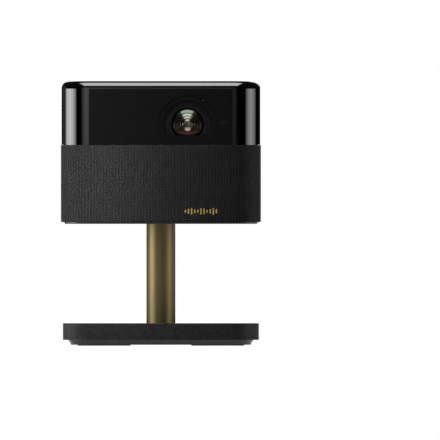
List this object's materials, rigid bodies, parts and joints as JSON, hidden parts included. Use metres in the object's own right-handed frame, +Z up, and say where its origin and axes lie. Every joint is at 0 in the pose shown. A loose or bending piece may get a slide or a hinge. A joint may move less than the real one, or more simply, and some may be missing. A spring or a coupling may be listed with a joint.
{
  "type": "home projector",
  "caption": "Home projector on a pole stand: gloss and fabric head with an offset lens, tilting on a swivelling metal column above a weighted base.",
  "frame": {"origin": "on the floor, on the column's axis, at the middle of the base", "axes": "+Z up, the lens looks along -Y, +X to the right seen from the front"},
  "size_m": [0.2, 0.1942, 0.265],
  "materials": {
    "textured_black": "fine speckled soft-touch black",
    "ballast_steel": "phosphated steel",
    "base_plastic": "satin black plastic",
    "foot_rubber": "matt black rubber",
    "screw_steel": "zinc-plated steel",
    "bearing_plastic": "natural acetal",
    "champagne_metal": "champagne-gold satin anodised",
    "machined_steel": "turned steel",
    "washer_bronze": "bronze",
    "gloss_black": "piano black, polished",
    "window_black": "smoked satin black",
    "bezel_black": "matt black",
    "lens_glass": "coated optical glass",
    "sensor_glass": "infrared-clear dark plastic",
    "circuit_board": "green solder mask",
    "speaker_fabric": "black woven acoustic cloth",
    "badge_gold": "gold-coloured metal",
    "frame_plastic": "glass-filled black plastic",
    "cover_plastic": "satin black plastic with a fine grain",
    "bracket_steel": "zinc-plated sheet steel",
    "grille_plastic": "satin black plastic",
    "engine_alloy": "die-cast alloy",
    "chip_ceramic": "moulded chip packages",
    "sink_alloy": "extruded alloy",
    "fan_plastic": "black fan plastic",
    "socket_metal": "nickel-plated sheet",
    "socket_plastic": "black socket plastic",
    "led_lens": "frosted clear plastic",
    "key_plastic": "satin dark grey plastic",
    "cone_paper": "coated paper"
  },
  "bodies": {
    "stand_base": {"base_cover": "textured_black", "base_ballast": "ballast_steel", "base_plate": "base_plastic", "feet": "foot_rubber", "base_screws": "screw_steel", "swivel_bush": "bearing_plastic"},
    "column": {"column_tube": "champagne_metal", "column_spigot": "machined_steel", "swivel_retainer": "machined_steel", "hinge_knuckle": "machined_steel", "tilt_shaft": "machined_steel", "friction_washers": "washer_bronze", "shaft_nuts": "screw_steel"},
    "head": {"upper_shell": "gloss_black", "front_window": "window_black", "lens_bezel": "bezel_black", "front_glass": "lens_glass", "sensor_window": "sensor_glass", "sensor_module": "circuit_board", "fabric_sleeve": "speaker_fabric", "accent_badge": "badge_gold", "lower_frame": "frame_plastic", "bottom_cover": "cover_plastic", "bottom_screws": "screw_steel", "hinge_pocket": "cover_plastic", "tilt_brackets": "bracket_steel", "rear_panel": "cover_plastic", "rear_grille": "grille_plastic", "lens_barrel": "frame_plastic", "rear_lens": "lens_glass", "optical_engine": "engine_alloy", "prism_cube": "lens_glass", "display_chip": "chip_ceramic", "laser_module": "engine_alloy", "heat_sink": "sink_alloy", "fan_frames": "fan_plastic", "main_board": "circuit_board", "board_chips": "chip_ceramic", "power_board": "circuit_board", "io_board": "circuit_board", "key_board": "circuit_board", "hdmi_socket": "socket_metal", "usb_socket": "socket_metal", "audio_jack": "socket_plastic", "dc_inlet": "socket_plastic", "status_led": "led_lens", "speaker_baskets": "bracket_steel", "speaker_magnets": "ballast_steel", "focus_motor": "socket_metal"},
    "fan_left": {"fan_rotor_left": "fan_plastic"},
    "fan_right": {"fan_rotor_right": "fan_plastic"},
    "focus_gear": {"focus_ring": "washer_bronze"},
    "motor_gear": {"focus_pinion": "bearing_plastic"},
    "focus_group": {"focus_cell": "frame_plastic", "focus_lens": "lens_glass"},
    "power_key": {"power_button": "key_plastic"},
    "volume_down": {"volume_down_key": "key_plastic"},
    "volume_up": {"volume_up_key": "key_plastic"},
    "cone_left": {"speaker_cone_left": "cone_paper"},
    "cone_right": {"speaker_cone_right": "cone_paper"}
  },
  "joints": [
    {"name": "swivel", "type": "hinge", "parent": "stand_base", "child": "column", "pos_m": [0, 0, 0.02], "axis": [0, 0, 1], "continuous": true},
    {"name": "tilt", "type": "hinge", "parent": "column", "child": "head", "pos_m": [0, 0, 0.152], "axis": [-1, 0, 0], "range_deg": [0, 90]},
    {"name": "fan_left_spin", "type": "hinge", "parent": "head", "child": "fan_left", "pos_m": [-0.034, 0.082, 0.2292], "axis": [0, 1, 0], "continuous": true},
    {"name": "fan_right_spin", "type": "hinge", "parent": "head", "child": "fan_right", "pos_m": [0.034, 0.082, 0.2292], "axis": [0, 1, 0], "continuous": true},
    {"name": "focus_turn", "type": "hinge", "parent": "head", "child": "focus_gear", "pos_m": [0.0266, -0.066, 0.2216], "axis": [0, 1, 0], "range_deg": [-60, 60]},
    {"name": "motor_turn", "type": "hinge", "parent": "head", "child": "motor_gear", "pos_m": [0.05565, -0.066, 0.2216], "axis": [0, 1, 0], "range_deg": [-190, 190]},
    {"name": "focus_slide", "type": "slide", "parent": "head", "child": "focus_group", "axis": [0, 1, 0], "range_m": [-0.0015, 0.0015]},
    {"name": "power_press", "type": "slide", "parent": "head", "child": "power_key", "axis": [0, -1, 0], "range_m": [0, 0.0008], "stiffness_N_per_m": 900, "springref_m": -0.0004},
    {"name": "volume_down_press", "type": "slide", "parent": "head", "child": "volume_down", "axis": [0, -1, 0], "range_m": [0, 0.0008], "stiffness_N_per_m": 900, "springref_m": -0.0004},
    {"name": "volume_up_press", "type": "slide", "parent": "head", "child": "volume_up", "axis": [0, -1, 0], "range_m": [0, 0.0008], "stiffness_N_per_m": 900, "springref_m": -0.0004},
    {"name": "cone_left_travel", "type": "slide", "parent": "head", "child": "cone_left", "axis": [-1, 0, 0], "range_m": [-0.001, 0.001], "stiffness_N_per_m": 1500},
    {"name": "cone_right_travel", "type": "slide", "parent": "head", "child": "cone_right", "axis": [1, 0, 0], "range_m": [-0.001, 0.001], "stiffness_N_per_m": 1500}
  ],
  "couplings": [
    {"joint": "motor_turn", "follows": "focus_turn", "ratio": -3.1429},
    {"joint": "focus_slide", "follows": "focus_turn", "m_per_rad": 0.0014}
  ]
}
